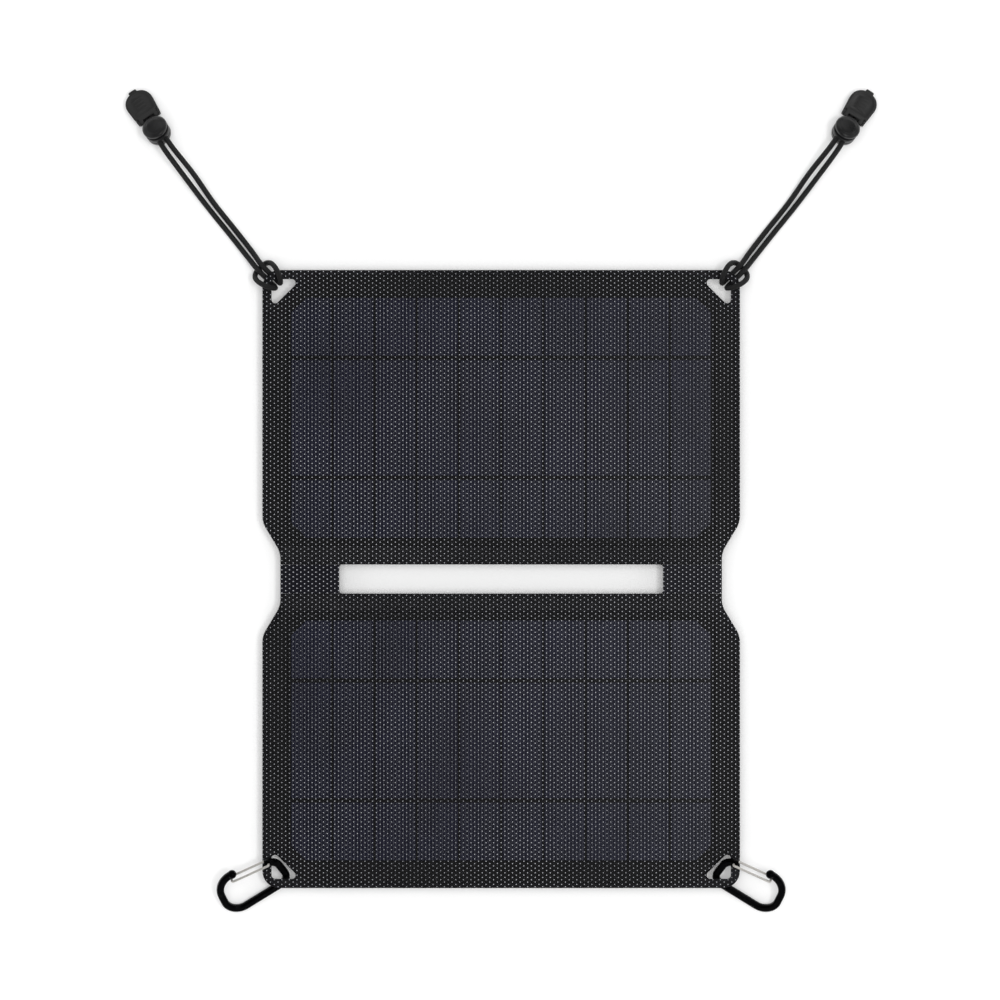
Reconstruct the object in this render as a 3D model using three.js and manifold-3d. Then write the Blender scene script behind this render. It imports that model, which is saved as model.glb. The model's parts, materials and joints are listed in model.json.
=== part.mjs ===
// Folding solar panel: two laminated halves joined by a soft fold, with a USB box on the back,
// elastic cords on the top corners and small carabiners on the bottom corners.
// Millimetres, +Z up. It lies face up: the top edge with the cords points along +Y.
import * as THREE from "three";
import { mergeVertices } from "three/addons/utils/BufferGeometryUtils.js";
import Module from "manifold-3d";

const wasm = await Module();
wasm.setup();

// Sheet outline, one half, measured from the fold line
const HALF_WIDTH = 124.4;
const HALF_HEIGHT = 161;
const CORNER_RADIUS = 8.9;
const WAIST_HALF_WIDTH = 115;
const WAIST_START = 13.8;
const WAIST_END = 29.5;
const WAIST_RADIUS = 12;
const SLOT_HALF_WIDTH = 84.4;
const SLOT_HALF_HEIGHT = 7.5;
const SLOT_CORNER_RADIUS = 1.5;
const HOLE_EDGE = 4.65; // from the sheet's edges to the corner hole
const HOLE_LEG = 15.5;
const HOLE_RADIUS = 2;

// Laminate, bottom to top; the box on the back lifts the sheet off the ground
const SHEET_BOTTOM = 8;
const FABRIC_TOP = SHEET_BOTTOM + 0.4;
const BOARD_BOTTOM = SHEET_BOTTOM + 0.45;
const BOARD_TOP = SHEET_BOTTOM + 0.95;
const CELL_BOTTOM = SHEET_BOTTOM + 1;
const CELL_TOP = SHEET_BOTTOM + 1.2;
const RIBBON_BOTTOM = SHEET_BOTTOM + 1.25;
const RIBBON_TOP = SHEET_BOTTOM + 1.35;
const POCKET_TOP = SHEET_BOTTOM + 1.4;
const SHEET_TOP = SHEET_BOTTOM + 1.75;
const JOIN_GAP = 0.1;
const BOARD_INSET = 2.8;
const BOARD_START = 17.5;
const BOARD_CORNER_CUT = 20.5;

// Solar cells: strips cut from a 125 mm wafer
const CELL_COUNT = 10;
const CELL_PITCH = 22;
const CELL_WIDTH = 20.83;
const CELL_LENGTH = 125;
const CELL_START = 21.6;
const CELL_CHAMFER = 7.8;
const RIBBON_WIDTH = 2.2;
const RIBBON_OVERHANG = 1.2;
const CELL_FIELD_HALF_WIDTH = (CELL_PITCH * (CELL_COUNT - 1) + CELL_WIDTH) / 2;

// Fold: soft strips each side of the slot, one of them carrying the lead between the halves
const LEAD_X = 100;
const LEAD_WIDTH = 4.4;
const LEAD_THICKNESS = 0.3;

// USB box on the back of the upper half
const BOX_HALF_WIDTH = 31;
const BOX_START = 16;
const BOX_END = 50;
const BOX_WALL = 1.2;
const BOX_SPLIT = 6.85;
const BOX_TOP = SHEET_BOTTOM - JOIN_GAP;
const BOX_RADIUS = 4;
const SOCKET = { width: 13.1, height: 5.6, depth: 14, wall: 0.3, bottom: 1.2 };
const BOARD_PLATE_BOTTOM = 2.6;
const BOARD_PLATE_TOP = 3.6;
const LIGHT_X = -12.5;
const LIGHT_Z = 4.4;
const LIGHT_RADIUS = 1.3;
const FLAP_HINGE_X = 10.3;
const FLAP_Y = 15;

// Cord, lock and end clip on each top corner (left side; the right side is its mirror)
const CORD_RADIUS = 1.4;
const LOCK_PLACE = [-179, 233.06, 6.85];
const CLIP_PLACE = [-183.4, 239.9, 0];
const CORD_HEADING = Math.atan2(0.84, -0.543); // from the lock towards the end clip
const LOCK_TILT = THREE.MathUtils.degToRad(30);
const LOCK_RADIUS = 6.5;
const LOCK_RIM = 2.5;
const BUTTON_TRAVEL = 1.6;
const SPRING_WIRE = 0.25;

// Carabiner on each bottom corner
const BAR_RADIUS = 1.65;
const WIRE_RADIUS = 0.5;
const CARABINER_HEADING = Math.atan2(-0.53, -0.848);
const CARABINER_TILT = THREE.MathUtils.degToRad(33);
const CARABINER_PITCH = THREE.MathUtils.degToRad(7);
const CARABINER_PLACE = [-110.2, -156.3, 5.24];
const GATE_PIVOT = [3.6, 15.9];
const GATE_TIP = [24.3, 19.1];
const GATE_SPREAD = 2.45;

// Moves the sheet so that the frame's origin is under the middle of sheet and carabiners together
const SHEET_SHIFT_Y = 6.62;

// Route of the left cord: both ends in the clip, a hitch round the corner of the sheet between them
const CORD_ROUTE = [
  [-183.3, 242.7, 2.9], [-180.3, 238.6, 3.7], [-177.4, 234.1, 6.8], [-174.4, 229.4, 9.9],
  [-171.0, 224.6, 10.6], [-161.0, 211.9, 5.2], [-150.4, 196.6, 1.9], [-137.6, 180.5, 1.9],
  [-129.9, 170.6, 3.6], [-124.7, 163.5, 7.0], [-119.1, 157.9, 6.2], [-116.3, 155.1, 6.6],
  [-115.1, 154.3, 9.0], [-115.0, 155.9, 11.5], [-115.7, 158.5, 12.2], [-117.1, 161.4, 11.8],
  [-118.9, 163.8, 10.0], [-121.1, 165.0, 7.0], [-123.4, 164.6, 4.3], [-125.9, 162.5, 3.2],
  [-128.0, 160.0, 4.3], [-128.4, 157.7, 7.0], [-127.2, 155.5, 10.0], [-124.8, 153.7, 11.8],
  [-121.9, 152.3, 12.2], [-119.3, 151.6, 11.5], [-117.7, 151.7, 9.0], [-118.5, 152.9, 6.6],
  [-121.3, 155.7, 6.2], [-126.9, 161.3, 7.0], [-132.6, 168.3, 3.6], [-140.6, 178.4, 1.9],
  [-153.6, 194.5, 1.9], [-164.8, 209.3, 5.2], [-174.4, 222.4, 10.6], [-177.6, 227.3, 9.9],
  [-180.6, 232.0, 6.8], [-183.5, 236.6, 3.7], [-186.2, 240.8, 2.9],
];
const CORD_STEPS = 2 * (CORD_ROUTE.length - 1);
const CORD_SIDES = 8;

// --- Solids -------------------------------------------------------------------------------

function solid(geometry) {
  const bare = geometry.index ? geometry.toNonIndexed() : geometry.clone();
  bare.deleteAttribute("normal");
  bare.deleteAttribute("uv");
  const merged = mergeVertices(bare, 1e-4);
  return new wasm.Manifold(
    new wasm.Mesh({
      numProp: 3,
      vertProperties: merged.attributes.position.array,
      triVerts: new Uint32Array(merged.index.array),
    }),
  );
}

function geometryOf(body) {
  const mesh = body.getMesh();
  const geometry = new THREE.BufferGeometry();
  geometry.setAttribute("position", new THREE.BufferAttribute(mesh.vertProperties, 3));
  geometry.setIndex(new THREE.BufferAttribute(mesh.triVerts, 1));
  return geometry;
}

// Joins the first geometry with those in add, then cuts away those in cut.
function carve(first, { add = [], cut = [] }) {
  let body = solid(first);
  for (const geometry of add) body = body.add(solid(geometry));
  for (const geometry of cut) body = body.subtract(solid(geometry));
  return geometryOf(body);
}

// A box from its lowest to its highest corner.
function box(low, high) {
  const [dx, dy, dz] = high.map((value, axis) => value - low[axis]);
  return new THREE.BoxGeometry(dx, dy, dz).translate(low[0] + dx / 2, low[1] + dy / 2, low[2] + dz / 2);
}

// Adds a closed outline to a shape or path; each corner is [x, y, radius].
function traceRounded(path, corners) {
  const at = (index) => new THREE.Vector2(...corners[(index + corners.length) % corners.length]);
  corners.forEach(([x, y, radius = 0], index) => {
    const corner = new THREE.Vector2(x, y);
    const back = at(index - 1).sub(corner).normalize();
    const ahead = at(index + 1).sub(corner).normalize();
    const move = index === 0 ? "moveTo" : "lineTo";
    if (!radius) {
      path[move](x, y);
      return;
    }
    const half = Math.acos(back.dot(ahead)) / 2;
    const start = corner.clone().addScaledVector(back, radius / Math.tan(half));
    const end = corner.clone().addScaledVector(ahead, radius / Math.tan(half));
    const middle = back.clone().add(ahead).normalize();
    const centre = corner.clone().addScaledVector(middle, radius / Math.sin(half));
    path[move](start.x, start.y);
    const from = Math.atan2(start.y - centre.y, start.x - centre.x);
    const to = Math.atan2(end.y - centre.y, end.x - centre.x);
    path.absarc(centre.x, centre.y, radius, from, to, back.cross(ahead) > 0);
  });
  path.closePath();
  return path;
}

const roundedShape = (corners) => traceRounded(new THREE.Shape(), corners);

function slab(shape, bottom, top, curveSegments = 4) {
  const options = { depth: top - bottom, bevelEnabled: false, curveSegments };
  return new THREE.ExtrudeGeometry(shape, options).translate(0, 0, bottom);
}

function regularShape(radius, sides) {
  const points = [];
  for (let i = 0; i < sides; i += 1) {
    const angle = (2 * Math.PI * (i + 0.5)) / sides;
    points.push(new THREE.Vector2(radius * Math.cos(angle), radius * Math.sin(angle)));
  }
  return new THREE.Shape(points);
}

// A curve whose steps follow its control points, so tight bends get short steps.
class StepByPoint extends THREE.CatmullRomCurve3 {
  getPointAt(u, target) {
    return this.getPoint(u, target);
  }

  getTangentAt(u, target) {
    return this.getTangent(u, target);
  }
}

// A flat path lying in the local XY plane, as a curve to sweep along.
class FlatCurve extends THREE.Curve {
  constructor(path) {
    super();
    this.path = path;
  }

  getPoint(t) {
    const point = this.path.getPointAt(t);
    return new THREE.Vector3(point.x, point.y, 0);
  }
}

function sweep(curve, radius, sides, steps) {
  const section = regularShape(radius, sides);
  return new THREE.ExtrudeGeometry(section, { extrudePath: curve, steps, bevelEnabled: false });
}

// A curve through straight runs with a rounded corner at each inner point, [x, y, z, radius].
function bentWire(points) {
  const path = new THREE.CurvePath();
  let last = new THREE.Vector3(...points[0].slice(0, 3));
  for (let i = 1; i < points.length; i += 1) {
    const corner = new THREE.Vector3(...points[i].slice(0, 3));
    const radius = points[i][3] ?? 0;
    if (!radius) {
      path.add(new THREE.LineCurve3(last, corner));
      last = corner;
      continue;
    }
    const next = new THREE.Vector3(...points[i + 1].slice(0, 3));
    const start = corner.clone().addScaledVector(last.clone().sub(corner).normalize(), radius);
    const end = corner.clone().addScaledVector(next.sub(corner).normalize(), radius);
    path.add(new THREE.LineCurve3(last, start));
    path.add(new THREE.QuadraticBezierCurve3(start, corner, end));
    last = end;
  }
  return path;
}

const cylinder = (radius, length, sides) =>
  new THREE.CylinderGeometry(radius, radius, length, sides).rotateX(Math.PI / 2);

// A round rod lying along Y, placed by its middle.
const crossRod = (radius, length, x, y, z) =>
  cylinder(radius, length, 12).rotateX(Math.PI / 2).translate(x, y, z);

// --- Materials ----------------------------------------------------------------------------

const finish = (color, roughness, metalness = 0) =>
  new THREE.MeshStandardMaterial({ color, roughness, metalness });
const FINISHES = {
  film: () => finish(0x14151a, 0.35),
  cell: () => finish(0x14172b, 0.4),
  ribbon: () => finish(0x6f7076, 0.35, 0.9),
  board: () => finish(0x0f1012, 0.7),
  fabric: () => finish(0x17181b, 0.9),
  plastic: () => finish(0x1a1b1d, 0.5),
  circuit: () => finish(0x1d5a35, 0.6),
  steel: () => finish(0xb9bcc0, 0.25, 1),
  rubber: () => finish(0x1b1b1c, 0.8),
  light: () => finish(0x2c8a4a, 0.2),
  cord: () => finish(0x1b1b1c, 0.85),
  anodised: () => finish(0x0b0b0c, 0.35, 0.8),
};

const root = new THREE.Group();
const assembly = new THREE.Group();
assembly.position.y = SHEET_SHIFT_Y;
root.add(assembly);

function addPart(group, name, geometry, finishName) {
  const mesh = new THREE.Mesh(geometry, FINISHES[finishName]());
  mesh.name = name;
  group.add(mesh);
  return mesh;
}

// --- Laminated halves ---------------------------------------------------------------------

function cornerHole(sign) {
  const x = sign * (HALF_WIDTH - HOLE_EDGE);
  const y = HALF_HEIGHT - HOLE_EDGE;
  const corners = [
    [x, y, HOLE_RADIUS],
    [x - sign * HOLE_LEG, y, HOLE_RADIUS],
    [x, y - HOLE_LEG, HOLE_RADIUS],
  ];
  return traceRounded(new THREE.Path(), corners);
}

// One half of the sheet, seen from above, from the slot's edge to the far edge.
function halfOutline() {
  const start = SLOT_HALF_HEIGHT + JOIN_GAP;
  const shape = roundedShape([
    [WAIST_HALF_WIDTH, start],
    [WAIST_HALF_WIDTH, WAIST_START, WAIST_RADIUS],
    [HALF_WIDTH, WAIST_END, WAIST_RADIUS],
    [HALF_WIDTH, HALF_HEIGHT, CORNER_RADIUS],
    [-HALF_WIDTH, HALF_HEIGHT, CORNER_RADIUS],
    [-HALF_WIDTH, WAIST_END, WAIST_RADIUS],
    [-WAIST_HALF_WIDTH, WAIST_START, WAIST_RADIUS],
    [-WAIST_HALF_WIDTH, start],
  ]);
  shape.holes.push(cornerHole(-1), cornerHole(1));
  return shape;
}

// The stiffening board stops short of the edges and of the corner holes.
function boardOutline(grow) {
  const side = HALF_WIDTH - BOARD_INSET + grow;
  const far = HALF_HEIGHT - BOARD_INSET + grow;
  const near = BOARD_START - grow;
  const narrow = WAIST_HALF_WIDTH + grow;
  const corners = [
    [narrow, near, 3],
    [side, WAIST_END + 1, 6],
    [side, far - BOARD_CORNER_CUT, 3],
    [side - BOARD_CORNER_CUT, far, 3],
  ];
  const mirrored = corners.map(([x, y, radius]) => [-x, y, radius]).reverse();
  return roundedShape([...corners, ...mirrored]);
}

function cellShape(index) {
  const left = -CELL_FIELD_HALF_WIDTH + index * CELL_PITCH;
  const right = left + CELL_WIDTH;
  const far = CELL_START + CELL_LENGTH;
  const cutLeft = index === 0 ? CELL_CHAMFER : 0;
  const cutRight = index === CELL_COUNT - 1 ? CELL_CHAMFER : 0;
  const corners = [
    [left + cutLeft, CELL_START],
    [right - cutRight, CELL_START],
    [right, CELL_START + cutRight],
    [right, far - cutRight],
    [right - cutRight, far],
    [left + cutLeft, far],
    [left, far - cutLeft],
    [left, CELL_START + cutLeft],
  ];
  const points = corners.map(([x, y]) => new THREE.Vector2(x, y));
  return new THREE.Shape(points.filter((point, i) => i === 0 || !point.equals(points[i - 1])));
}

function frontFilm() {
  const margin = 0.6;
  const pocket = box(
    [-CELL_FIELD_HALF_WIDTH - RIBBON_OVERHANG - margin, CELL_START - margin, BOARD_TOP - margin],
    [CELL_FIELD_HALF_WIDTH + RIBBON_OVERHANG + margin, CELL_START + CELL_LENGTH + margin, POCKET_TOP],
  );
  const boardPocket = slab(boardOutline(0.15), FABRIC_TOP - margin, CELL_BOTTOM, 2);
  return carve(slab(halfOutline(), BOARD_BOTTOM, SHEET_TOP), { cut: [pocket, boardPocket] });
}

function ribbon(y) {
  const reach = CELL_FIELD_HALF_WIDTH + RIBBON_OVERHANG;
  return box([-reach, y - RIBBON_WIDTH / 2, RIBBON_BOTTOM], [reach, y + RIBBON_WIDTH / 2, RIBBON_TOP]);
}

// Builds one half facing +Y; the lower half is its mirror across the fold line.
function buildHalf(prefix, direction) {
  const half = new THREE.Group();
  half.scale.y = direction;
  assembly.add(half);
  addPart(half, `${prefix}_front_film`, frontFilm(), "film");
  for (let i = 0; i < CELL_COUNT; i += 1) {
    const name = `${prefix}_cell_${String(i + 1).padStart(2, "0")}`;
    addPart(half, name, slab(cellShape(i), CELL_BOTTOM, CELL_TOP), "cell");
  }
  addPart(half, `${prefix}_inner_ribbon`, ribbon(CELL_START + CELL_LENGTH / 4), "ribbon");
  addPart(half, `${prefix}_outer_ribbon`, ribbon(CELL_START + (CELL_LENGTH * 3) / 4), "ribbon");
  addPart(half, `${prefix}_board`, slab(boardOutline(0), BOARD_BOTTOM, BOARD_TOP, 2), "board");
  addPart(half, `${prefix}_back_fabric`, slab(halfOutline(), SHEET_BOTTOM, FABRIC_TOP), "fabric");
}

// --- Soft fold ----------------------------------------------------------------------------

function foldStrip() {
  const reach = SLOT_HALF_HEIGHT;
  const flare = SLOT_HALF_WIDTH - SLOT_CORNER_RADIUS;
  const shape = new THREE.Shape();
  shape.moveTo(WAIST_HALF_WIDTH, -reach);
  shape.lineTo(WAIST_HALF_WIDTH, reach);
  shape.lineTo(flare, reach);
  shape.absarc(flare, reach - SLOT_CORNER_RADIUS, SLOT_CORNER_RADIUS, Math.PI / 2, 0, true);
  shape.absarc(flare, SLOT_CORNER_RADIUS - reach, SLOT_CORNER_RADIUS, 0, -Math.PI / 2, true);
  shape.closePath();
  return slab(shape, SHEET_BOTTOM, SHEET_TOP);
}

function buildFold() {
  const left = new THREE.Group();
  left.scale.x = -1;
  assembly.add(left);
  addPart(left, "left_fold_strip", foldStrip(), "fabric");
  const middle = (SHEET_BOTTOM + SHEET_TOP) / 2;
  const room = LEAD_THICKNESS / 2 + 0.15;
  const reach = SLOT_HALF_HEIGHT;
  const channel = box(
    [LEAD_X - LEAD_WIDTH / 2 - 0.3, -reach - 1, middle - room],
    [LEAD_X + LEAD_WIDTH / 2 + 0.3, reach + 1, middle + room],
  );
  addPart(assembly, "right_fold_strip", carve(foldStrip(), { cut: [channel] }), "fabric");
  const lead = box(
    [LEAD_X - LEAD_WIDTH / 2, -reach, middle - LEAD_THICKNESS / 2],
    [LEAD_X + LEAD_WIDTH / 2, reach, middle + LEAD_THICKNESS / 2],
  );
  addPart(assembly, "fold_lead", lead, "ribbon");
}

// --- USB box ------------------------------------------------------------------------------

function boxOutline(inset) {
  const x = BOX_HALF_WIDTH - inset;
  const near = BOX_START + inset;
  const far = BOX_END - inset;
  const radius = BOX_RADIUS - inset;
  return roundedShape([
    [x, near, radius],
    [x, far, radius],
    [-x, far, radius],
    [-x, near, radius],
  ]);
}

function boxCover() {
  const hollow = slab(boxOutline(BOX_WALL), BOX_WALL - 0.1, BOX_SPLIT + 1);
  const mouth = box([-6, BOX_START - 1, 1.6], [6, BOX_START + 2, 6.4]);
  const lightHole = crossRod(LIGHT_RADIUS + 0.15, 6, LIGHT_X, BOX_START, LIGHT_Z);
  const ear = (bottom, top) =>
    box([FLAP_HINGE_X - 1, FLAP_Y - 1, bottom], [FLAP_HINGE_X + 1, BOX_START + 0.5, top]);
  return carve(slab(boxOutline(0), 0, BOX_SPLIT), {
    add: [ear(0.2, 1), ear(5.9, 6.7)],
    cut: [hollow, mouth, lightHole],
  });
}

function usbSocket() {
  const { width, height, depth, wall, bottom } = SOCKET;
  const front = BOX_START + BOX_WALL + 0.1;
  const shell = box([-width / 2, front, bottom], [width / 2, front + depth, bottom + height]);
  const mouth = box(
    [wall - width / 2, front - 1, bottom + wall],
    [width / 2 - wall, front + depth - 2, bottom + height - wall],
  );
  const tongue = box([-5.6, front + 0.8, bottom + 3], [5.6, front + depth - 1, bottom + 4.8]);
  return carve(shell, { cut: [carve(mouth, { cut: [tongue] })] });
}

function circuitBoard() {
  const reach = BOX_HALF_WIDTH - BOX_WALL - 0.8;
  const near = BOX_START + BOX_WALL + 1.8;
  const far = BOX_END - BOX_WALL - 0.8;
  const top = BOARD_PLATE_TOP;
  const plate = box([-reach, near, BOARD_PLATE_BOTTOM], [reach, far, top]);
  const socketRoom = box([-7, near - 1, 0], [7, BOX_START + BOX_WALL + SOCKET.depth + 0.6, 8]);
  const coil = cylinder(4, 2.6, 16).translate(17, 36, top + 1.2);
  const chip = box([-20, 33, top - 0.1], [-14, 38, top + 1.1]);
  const diode = box([-25, 41, top - 0.1], [-18, 45, top + 1.6]);
  const capacitor = cylinder(2.5, 2.8, 12).translate(2, 42, top + 1.3);
  return carve(plate, { add: [coil, chip, diode, capacitor], cut: [socketRoom] });
}

// A soft cover over the socket, with a round hinge edge and a pull lip.
function portFlap() {
  const plate = box([-9, FLAP_Y - 0.5, 1.3], [FLAP_HINGE_X, FLAP_Y + 0.7, 5.6]);
  const lip = box([-10.4, FLAP_Y - 0.5, 2.2], [-8.9, FLAP_Y + 0.1, 4.7]);
  const barrel = cylinder(0.7, 4.3, 12).translate(FLAP_HINGE_X, FLAP_Y, 3.45);
  const ridges = [-6.5, -5, -3.5].map((x) => box([x, FLAP_Y - 0.8, 1.9], [x + 0.7, FLAP_Y - 0.4, 5]));
  return carve(plate, { add: [lip, barrel, ...ridges] });
}

function buildUsbBox() {
  addPart(assembly, "box_base", slab(boxOutline(0), BOX_SPLIT + 0.05, BOX_TOP), "plastic");
  addPart(assembly, "box_cover", boxCover(), "plastic");
  addPart(assembly, "circuit_board", circuitBoard(), "circuit");
  addPart(assembly, "usb_socket", usbSocket(), "steel");
  addPart(assembly, "port_flap", portFlap(), "rubber");
  const light = crossRod(LIGHT_RADIUS, 3.6, LIGHT_X, BOX_START + 1.1, LIGHT_Z);
  addPart(assembly, "indicator_light", light, "light");
}

// --- Cord, lock and end clip --------------------------------------------------------------

function cordTube() {
  const route = new StepByPoint(CORD_ROUTE.map((point) => new THREE.Vector3(...point)));
  return sweep(route, CORD_RADIUS, CORD_SIDES, CORD_STEPS);
}

const lathe = (profile, segments) =>
  new THREE.LatheGeometry(profile.map(([r, z]) => new THREE.Vector2(r, z)), segments).rotateX(Math.PI / 2);

// Round cup with a domed base and two windows for the cord; local +X is the cord's heading.
function lockBody() {
  const profile = [[0, -6.6]];
  for (let i = 1; i <= 4; i += 1) {
    const angle = (i * Math.PI) / 8;
    profile.push([LOCK_RADIUS * Math.sin(angle), -1 - 5.6 * Math.cos(angle)]);
  }
  profile.push([LOCK_RADIUS, LOCK_RIM], [4.9, LOCK_RIM], [4.9, -5], [0, -5]);
  const window = box([-8, -3.6, -1.75], [8, 3.6, 1.75]);
  return carve(lathe(profile, 24), { cut: [window] });
}

// Plunger with a domed head; its window is taller than the cord by the button's travel.
function lockButton() {
  const head = LOCK_RIM + BUTTON_TRAVEL + 0.15;
  const profile = [
    [0, -2.8], [4.55, -2.8], [4.55, head], [6.7, head],
    [6.7, head + 1.5], [5.6, head + 2.3], [3.2, head + 2.7], [0, head + 2.85],
  ];
  const window = box([-6, -3.6, -1.7], [6, 3.6, 1.7 + BUTTON_TRAVEL]);
  return carve(lathe(profile, 24), { cut: [window] });
}

function lockSpring() {
  const turns = 2;
  const points = [];
  for (let i = 0; i <= turns * 10; i += 1) {
    const angle = (i * 2 * Math.PI) / 10;
    const height = -4.65 + (1.5 * i) / (turns * 10);
    points.push(new THREE.Vector3(3.2 * Math.cos(angle), 3.2 * Math.sin(angle), height));
  }
  return sweep(new THREE.CatmullRomCurve3(points), SPRING_WIRE, 6, turns * 12);
}

// Clip in its own frame: +X from the cord mouth to the wide end, ground at Z 0.
const CLIP = { length: 16.4, mouth: 6.6, wide: 8.1, split: 2.85, top: 5.5, wall: 1.3 };
const CLIP_PIN = [1.5, 0, 4.4];

function clipBase() {
  const { length, mouth, wide, split, wall } = CLIP;
  const outline = (inset) => [
    [inset, inset - mouth, 1.5],
    [length - inset, inset - wide, 6.5 - inset],
    [length - inset, wide - inset, 6.5 - inset],
    [inset, mouth - inset, 1.5],
  ];
  const hollow = slab(roundedShape(outline(wall)), 1.1, split + 1);
  const mouthCut = box([-1, -3.6, 1.3], [2, 3.6, split + 1]);
  const ear = (near) => box([0.1, near, 1], [3, near + 1, 5.5]);
  const pinHole = crossRod(0.95, 20, ...CLIP_PIN);
  const plate = slab(roundedShape(outline(0)), 0, split);
  return carve(plate, { add: [ear(-6.6), ear(5.6)], cut: [hollow, mouthCut, pinHole] });
}

function clipLid() {
  const { length, wide, split, top, wall } = CLIP;
  const bottom = split + JOIN_GAP;
  const half = [[0.2, 5.3, 0.5], [3.3, 5.3, 0], [3.3, 6.95, 0.6], [length, wide, 6.4]];
  const lower = half.map(([x, y, radius]) => [x, -y, radius]);
  const shape = roundedShape([...lower, ...half.slice().reverse()]);
  const hollow = box([-1, -5.2, bottom - 1], [length - 5.5, 5.2, 4.5]);
  const panel = roundedShape([
    [4.4, -5.6, 1.5],
    [length - wall, -6.6, 5.2],
    [length - wall, 6.6, 5.2],
    [4.4, 5.6, 1.5],
  ]);
  const recess = slab(panel, top - 0.45, top + 1);
  const ridges = [6.4, 8.3, 10.2, 12.1].map((x) => box([x, -2.7, top - 0.9], [x + 0.8, 2.7, top - 0.12]));
  const tab = box([length - 0.6, -2.4, bottom], [length + 1.3, 2.4, 4.9]);
  const trunnion = crossRod(0.7, 12.8, ...CLIP_PIN);
  const cordRoom = box([-1, -4.9, bottom - 1], [4, 4.9, 4.5]);
  const heelRoom = box([-1, -6, bottom - 1], [1.1, 6, 3.6]);
  const mouthNotch = box([-1, -3.3, 4], [1.9, 3.3, top + 1]); // clears the cord as the lid opens
  const plate = carve(slab(shape, bottom, top), { add: [tab], cut: [hollow, recess] });
  const ridged = carve(plate, { add: [...ridges, trunnion] });
  return carve(ridged, { cut: [cordRoom, heelRoom, mouthNotch] });
}

function buildCordEnd(prefix, mirror) {
  const side = new THREE.Group();
  side.scale.x = mirror;
  assembly.add(side);
  addPart(side, `${prefix}_cord`, cordTube(), "cord");

  const lock = new THREE.Group();
  lock.position.set(...LOCK_PLACE);
  lock.rotation.set(0, LOCK_TILT, CORD_HEADING, "ZYX");
  side.add(lock);
  addPart(lock, `${prefix}_lock_body`, lockBody(), "plastic");
  addPart(lock, `${prefix}_lock_button`, lockButton(), "plastic");
  addPart(lock, `${prefix}_lock_spring`, lockSpring(), "steel");

  const clip = new THREE.Group();
  clip.position.set(...CLIP_PLACE);
  clip.rotation.z = CORD_HEADING;
  side.add(clip);
  addPart(clip, `${prefix}_clip_base`, clipBase(), "plastic");
  addPart(clip, `${prefix}_clip_lid`, clipLid(), "plastic");
}

// --- Carabiners ---------------------------------------------------------------------------

// Local frame: +X along the spine away from the sheet, +Y from the spine to the gate side.
function carabinerFrame() {
  const path = new THREE.Path();
  const squeeze = 1 / Math.cos(CARABINER_TILT);
  const corners = [
    [31, 18.9 * squeeze, 8],
    [36.6, 0, 6],
    [0.2, 0, 5.5],
    [-0.2, 12.6 * squeeze, 5],
  ];
  const nose = [22.3, 18.3 * squeeze];
  const heel = [5.4, 13.76 * squeeze];
  const all = [nose, ...corners, heel];
  path.moveTo(...nose);
  corners.forEach(([x, y, radius], index) => {
    const corner = new THREE.Vector2(x, y);
    const back = new THREE.Vector2(...all[index]).sub(corner).normalize();
    const ahead = new THREE.Vector2(...all[index + 2]).sub(corner).normalize();
    const half = Math.acos(back.dot(ahead)) / 2;
    const centre = back.clone().add(ahead).normalize().multiplyScalar(radius / Math.sin(half)).add(corner);
    const start = corner.clone().addScaledVector(back, radius / Math.tan(half));
    const end = corner.clone().addScaledVector(ahead, radius / Math.tan(half));
    path.lineTo(start.x, start.y);
    const from = Math.atan2(start.y - centre.y, start.x - centre.x);
    const to = Math.atan2(end.y - centre.y, end.x - centre.x);
    path.absarc(centre.x, centre.y, radius, from, to, back.cross(ahead) > 0);
  });
  path.lineTo(...heel);
  const bar = sweep(new FlatCurve(path), BAR_RADIUS, 10, 48);
  const pivotHole = cylinder(WIRE_RADIUS + 0.2, 8, 10).translate(GATE_PIVOT[0], GATE_PIVOT[1], 0);
  return carve(bar, { cut: [pivotHole] });
}

function carabinerGate() {
  const [px, py] = GATE_PIVOT;
  const [tx, ty] = GATE_TIP;
  const wire = bentWire([
    [px, py, 0.7],
    [px, py, GATE_SPREAD, 0.7],
    [tx, ty, GATE_SPREAD, 1.2],
    [tx, ty, -GATE_SPREAD, 1.2],
    [px, py, -GATE_SPREAD, 0.7],
    [px, py, -0.7],
  ]);
  return sweep(wire, WIRE_RADIUS, 8, 60);
}

function buildCarabiner(prefix, mirror) {
  const side = new THREE.Group();
  side.scale.x = mirror;
  assembly.add(side);
  const carabiner = new THREE.Group();
  const flat = Math.cos(CARABINER_PITCH);
  const along = new THREE.Vector3(
    flat * Math.cos(CARABINER_HEADING),
    flat * Math.sin(CARABINER_HEADING),
    -Math.sin(CARABINER_PITCH),
  );
  const across = new THREE.Vector3(Math.sin(CARABINER_HEADING), -Math.cos(CARABINER_HEADING), 0);
  const up = across.clone().cross(along);
  const gateSide = across
    .multiplyScalar(Math.cos(CARABINER_TILT))
    .addScaledVector(up, Math.sin(CARABINER_TILT));
  const normal = along.clone().cross(gateSide);
  const place = new THREE.Matrix4().makeBasis(along, gateSide, normal).setPosition(...CARABINER_PLACE);
  carabiner.applyMatrix4(place);
  side.add(carabiner);
  addPart(carabiner, `${prefix}_carabiner_frame`, carabinerFrame(), "anodised");
  addPart(carabiner, `${prefix}_carabiner_gate`, carabinerGate(), "steel");
}

buildHalf("lower", -1);
buildHalf("upper", 1);
buildFold();
buildUsbBox();
buildCordEnd("left", 1);
buildCordEnd("right", -1);
buildCarabiner("left", 1);
buildCarabiner("right", -1);

export default root;
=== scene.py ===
"""Folding solar panel, face up on the ground: film, cells, cords, carabiners and USB box."""
import json
import math

import bmesh
import bpy
import numpy as np
from bpy.props import FloatProperty, FloatVectorProperty, PointerProperty
from mathutils import Matrix, Vector


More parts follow.
